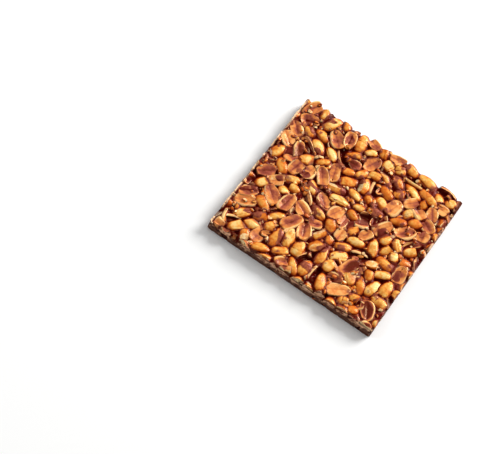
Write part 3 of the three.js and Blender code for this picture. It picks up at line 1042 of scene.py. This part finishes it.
def nutGlaze():
    make = Recipe("nutGlaze", nutColours)
    tone = make.mark("tone")
    fine = make.blotches(1.3, 4)
    broad = make.blotches(4.5, 2)
    # the caramel's stain on a nut together with painted shade low down and on its flanks
    stainShading = make.wandering(make.mark("stainShade"), fine, -0.05, 0.05)
    stainShading = make.sums("ADD", stainShading, make.spread(tone, -1.6, 1.6, 0, 0.2))
    stainShading = make.wandering(stainShading, broad, -0.06, 0.1)
    # down this ramp: a painted highlight on top, then glaze, stain and painted shade
    stops = [(0, "crownHighlight"), (0.08, "clear"), (0.24, "glazed"), (0.5, "stainedAndShaded"), (0.78, "stainShade")]
    skin = make.ramp(stainShading, stops)
    skin = make.mixed(make.spread(broad, 0.5, 0.74, 0, 0.3), skin, "toasted")
    dark = make.sums("MAXIMUM", make.mark("furrow"), make.spread(stainShading, 0.4, 1))
    dark = make.wandering(dark, broad, -0.3, 0.3)
    stops = [(0.04, "splitPale"), (0.22, "splitFace"), (0.6, "splitDeep"), (0.9, "pooled")]
    face = make.ramp(make.spread(dark, -0.4, 1.7), stops)
    skin = make.mixed(make.mark("split"), skin, face)
    rim = make.mark("rim")
    skin = make.mixed(make.spread(rim, 0, 0.8, 0, 0.65), skin, "rim")
    skin = make.mixed(make.spread(rim, -0.7, 0, 0.8, 0), skin, "splitTip")
    flesh = make.mixed(make.spread(fine, 0.35, 0.7), "flesh", "fleshShade")
    chipped = make.spread(make.blotches(3.2, 2), 0.6, 0.72, 0, 0.8)
    chipped = make.sums("MULTIPLY", chipped, make.spread(dark, 0.05, 0.4, 1, 0))
    skin = make.mixed(make.sums("MULTIPLY", make.mark("split"), chipped), skin, flesh)
    # thin caramel films on some nuts, painted with a sheen
    film = make.sums("ADD", make.blotches(6.5, 3), make.spread(stainShading, 0.1, 0.8, -0.04, 0.1))
    skin = make.mixed(make.spread(film, 0.55, 0.68, 0, 0.85), skin, "filmedSheen")
    pale = make.spread(make.wandering(tone, broad, -0.6, 0.6), -0.5, 1, 0.1, 0.95)
    skin = make.mixed(make.sums("MULTIPLY", make.mark("broken"), pale), skin, flesh)
    # near-black painted shade where a nut goes down into the caramel, over the stain there
    skin = make.mixed(make.spread(stainShading, 0.62, 0.98, 0, 0.95), skin, "stainShade")
    smear = make.blotches(1.2, 4, 0.6, (0.3, 0.3, 1))
    sliced = make.mixed(make.spread(smear, 0.44, 0.6), "sliced", "slicedShade")
    # painted shade, darker towards the bottom of the cut
    sliced = make.mixed(make.spread(make.height(1.7), 3, 5.6, 0.92, 0), sliced, "slicedLowShade")
    skin = make.mixed(make.mark("cut"), skin, sliced)
    # painted highlight along the burr at the top of the cuts
    skin = make.mixed(make.mark("burrAndHighlight"), skin, "burrAndHighlight")
    dry = make.sums("MAXIMUM", make.mark("cut"), make.sums("MULTIPLY", make.mark("broken"), 0.4))
    roughness = make.sums("ADD", make.spread(fine, 0.3, 0.7, 0.12, 0.3), make.sums("MULTIPLY", dry, 0.3))
    grain = make.bump(make.blotches(0.5, 3), 0.03, 0.4)
    normal = make.bump(fine, 0.07, 0.5, under=grain)
    return make.finish(Base_Color=skin, Roughness=roughness, Normal=normal, IOR=1.4,
                       Specular_IOR_Level=0.45, Specular_Tint=tint(255, 196, 130),
                       Subsurface_Weight=0.08, Subsurface_Radius=(1, 0.45, 0.2), Subsurface_Scale=1.2 * mm)


caramelColours = {
    "film": (170, 96, 64),  # a thin film over a nut
    "thin": (126, 60, 48),
    "deep": (88, 12, 6),
    "pool": (108, 34, 28),
    # painted shade in the creases, where the caramel lies low and on slopes
    "creaseShade": (72, 1, 0),
    "crushed": (200, 138, 110),  # where the knife crushed it
    # dark streaks, and the painted shade low on the cut sides
    "crushedDarkAndShade": (54, 8, 4),
    # painted highlight along the burr at the top of the cuts
    "burrAndHighlight": (250, 212, 166),
}


def darkCaramel():
    make = Recipe("darkCaramel", caramelColours)
    fine = make.blotches(1.6, 3)
    broad = make.blotches(7, 2)
    depth = make.wandering(make.mark("film"), fine, -0.08, 0.08)
    colour = make.ramp(depth, [(0, "film"), (0.16, "thin"), (0.6, "deep")])
    colour = make.mixed(make.spread(broad, 0.5, 0.7, 0, 0.5), colour, "pool")
    # painted shade in the creases, and where the caramel lies low or on a slope
    colour = make.mixed(make.spread(make.mark("valley"), 0.02, 0.3, 0, 0.98), colour, "creaseShade")
    colour = make.mixed(make.mark("low"), colour, "creaseShade")
    streaks = make.blotches(1.2, 4, 0.6, (0.3, 0.3, 1))
    crushed = make.mixed(make.spread(streaks, 0.48, 0.62), "crushedDarkAndShade", "crushed")
    # painted shade, darker towards the bottom of the cut sides
    crushed = make.mixed(make.spread(make.height(1.8), 3, 5.6, 0.94, 0), crushed, "crushedDarkAndShade")
    side = make.mark("side")
    colour = make.mixed(side, colour, crushed)
    # painted highlight along the burr, broken up by noise
    worn = make.spread(make.blotches(1.1, 3), 0.36, 0.5, 0.15, 1)
    colour = make.mixed(make.sums("MULTIPLY", make.mark("burrAndHighlight"), worn), colour, "burrAndHighlight")
    roughness = make.sums("ADD", make.spread(fine, 0.3, 0.7, 0.1, 0.2), make.sums("MULTIPLY", side, 0.35))
    normal = make.bump(make.blotches(0.9, 3), 0.05, 0.4)
    return make.finish(Base_Color=colour, Roughness=roughness, Normal=normal, IOR=1.3,
                       Specular_IOR_Level=0.22, Specular_Tint=tint(255, 110, 70))


glaze = nutGlaze()
candy = darkCaramel()


crispFrom = {"peanut": 38, "caramel": 60}  # edges between faces that meet at more than this look crisp


def dress(mesh, name, material, slotName, pointMarks, faceMarks):
    for domain, marks in (("POINT", pointMarks), ("FACE", faceMarks)):
        for mark, values in marks.items():
            values = np.array(values, np.float32)
            mesh.attributes.new(mark, "FLOAT", domain).data.foreach_set("value", values)
    for polygon in mesh.polygons:
        polygon.use_smooth = True
    mesh.set_sharp_from_angle(angle=math.radians(crispFrom[slotName]))
    mesh.materials.clear()
    mesh.materials.append(material)
    piece = placed(name, mesh)
    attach(piece, "root")
    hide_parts(nodeName)


def stainShading(p, normal):  # 1 where a nut is darkest, 0 where it is clear: the caramel's stain near thick caramel, and painted shade low down and on the flanks
    nearby = clamped(1 - thickTree.find(p)[2] / stainAndShadeLook["reach"])
    if p.z < stainAndShadeLook["underside"]:
        return nearby
    # painted shade: darker lower down between the nuts, and on steep flanks, partly the thicker glaze there
    low = 1 - smoothStep(p.z, stainAndShadeLook["dark"], stainAndShadeLook["clear"])
    steep = stainAndShadeLook["steep"] * smoothStep(1 - normal.z, *stainAndShadeLook["lean"])
    return min(max(nearby, low) + steep * (1 - 0.5 * max(nearby, low)), 1)


# how much of the painted highlight a point on the burr takes
def burrHighlightShare(points):
    return [burrAt(p[0], p[1]) * smoothStep(p[2], *burrAndHighlight["pale"]) for p in points]


def dressNuts(name, bag):
    mesh = bpy.data.meshes.new(name)
    mesh.from_pydata([p * mm for p in bag.points], [], bag.faces)
    mesh.update()
    marks = dict(zip(vertMarks, np.array(bag.verts).T))
    marks["stainShade"] = [bag.stainShadeShare * stainShading(p, v.normal) for p, v in zip(bag.points, mesh.vertices)]
    marks["burrAndHighlight"] = burrHighlightShare(bag.points)
    dress(mesh, name, glaze, "peanut", marks, dict(zip(faceMarks, np.array(bag.caps).T)))


def lowAndSlopeShade(vert):  # 1 where the caramel lies low or on a slope: painted shade there
    height = vert.co.z / mm
    if height < stainAndShadeLook["underside"]:
        return 0
    steep = caramel["steep"] * smoothStep(1 - vert.normal.z, *caramel["lean"])
    return max(1 - smoothStep(height, *caramel["darkToClear"]), steep)


for name, bag in bags.items():
    dressNuts(name, bag)

caramelSkin.name = "caramel_mass"
dress(caramelSkin, "caramel_mass", candy, "caramel", {
    "film": np.clip(caramelDepth / caramel["deepFilm"], 0, 1),
    # the valley and low marks carry the caramel's painted shade
    "valley": np.clip(caramelValley / caramel["deepValley"], 0, 1),
    "low": [lowAndSlopeShade(vert) for vert in caramelSkin.vertices],
    "side": caramelSide, "burrAndHighlight": burrHighlightShare(caramelPoints),
}, {})
print("dressed the pieces")


studio = {
    "floorSize": 6, "colours": {"paper": (243, 243, 242)},
    "skyWay": (0.1, 0.5, 0.86),  # where the soft sky is brightest
    "horizon": 0.04, "bright": 1.05, "gather": 3,
    "lights": {  # which way each lies, how far and how wide in metres, and its watts
        "key_lamp": {"way": (0.35, 0.8, 0.5), "far": 1.5, "size": 0.9, "watts": 34},
        "side_lamp": {"way": (-0.75, -0.3, 0.6), "far": 1.5, "size": 0.9, "watts": 7},
    },
}

view = {
    "aim": (-34.7, -43.3, 7.6),  # where the camera looks, in the frame of the cuts
    "far": 1121.9, "elevation": 56.92, "azimuth": 11.53, "roll": 24.41,
    "lens": 144, "sensor": 36,
}


def makeFloor():
    size = studio["floorSize"] / 2
    corners = [(-size, -size, 0), (size, -size, 0), (size, size, 0), (-size, size, 0)]
    mesh = bpy.data.meshes.new("floor")
    mesh.from_pydata(corners, [], [(0, 1, 2, 3)])
    paper = Recipe("floorPaper", studio["colours"])
    mesh.materials.append(paper.finish(Base_Color="paper", Roughness=0.85))
    floor = placed("floor", mesh)


def addLight(name, way, far, size, watts):
    lamp = bpy.data.lights.new(name, "AREA")
    lamp.shape = "DISK"
    lamp.size = size
    lamp.energy = watts
    light = placed(name, lamp)
    way = Vector(way).normalized()
    light.location = way * far
    light.rotation_euler = way.to_track_quat("Z", "Y").to_euler()


def makeSky():  # gathers on one side overhead, so that creases stay in shade
    world = bpy.data.worlds.new("studio")
    world.use_nodes = True
    nodes, links = world.node_tree.nodes, world.node_tree.links
    place = nodes.new("ShaderNodeTexCoord")
    toward = nodes.new("ShaderNodeVectorMath")
    toward.operation = "DOT_PRODUCT"
    toward.inputs[1].default_value = Vector(studio["skyWay"]).normalized()
    links.new(place.outputs["Generated"], toward.inputs[0])
    value = toward.outputs["Value"]
    for operation, numbers in (("MAXIMUM", (0,)), ("POWER", (studio["gather"],)),
                               ("MULTIPLY_ADD", (studio["bright"], studio["horizon"]))):
        step = nodes.new("ShaderNodeMath")
        step.operation = operation
        for i, number in enumerate(numbers):
            step.inputs[i + 1].default_value = number
        links.new(value, step.inputs[0])
        value = step.outputs[0]
    links.new(value, nodes["Background"].inputs["Strength"])
    nodes["Background"].inputs["Color"].default_value = (1, 1, 1, 1)
    bpy.context.scene.world = world


def setCamera():
    down, around = math.radians(90 - view["elevation"]), math.radians(view["azimuth"])
    level = Euler((down, 0, around), "XYZ").to_matrix()
    turned = level @ Matrix.Rotation(math.radians(view["roll"]), 3, "Z")
    lens = bpy.data.cameras.new("camera")
    lens.lens = view["lens"]
    lens.sensor_width = view["sensor"]
    camera = placed("camera", lens)
    aim = Vector(view["aim"]) + Vector((0, layoutShift, 0))
    back = turned @ Vector((0, 0, 1))
    camera.matrix_world = Matrix.Translation((aim + view["far"] * back) * mm) @ turned.to_4x4()
    bpy.context.scene.camera = camera


makeFloor()
for name, settings in studio["lights"].items():
    addLight(name, **settings)
setCamera()
makeSky()
bpy.context.scene.view_settings.view_transform = "Standard"
print("set the floor, the light and the camera")
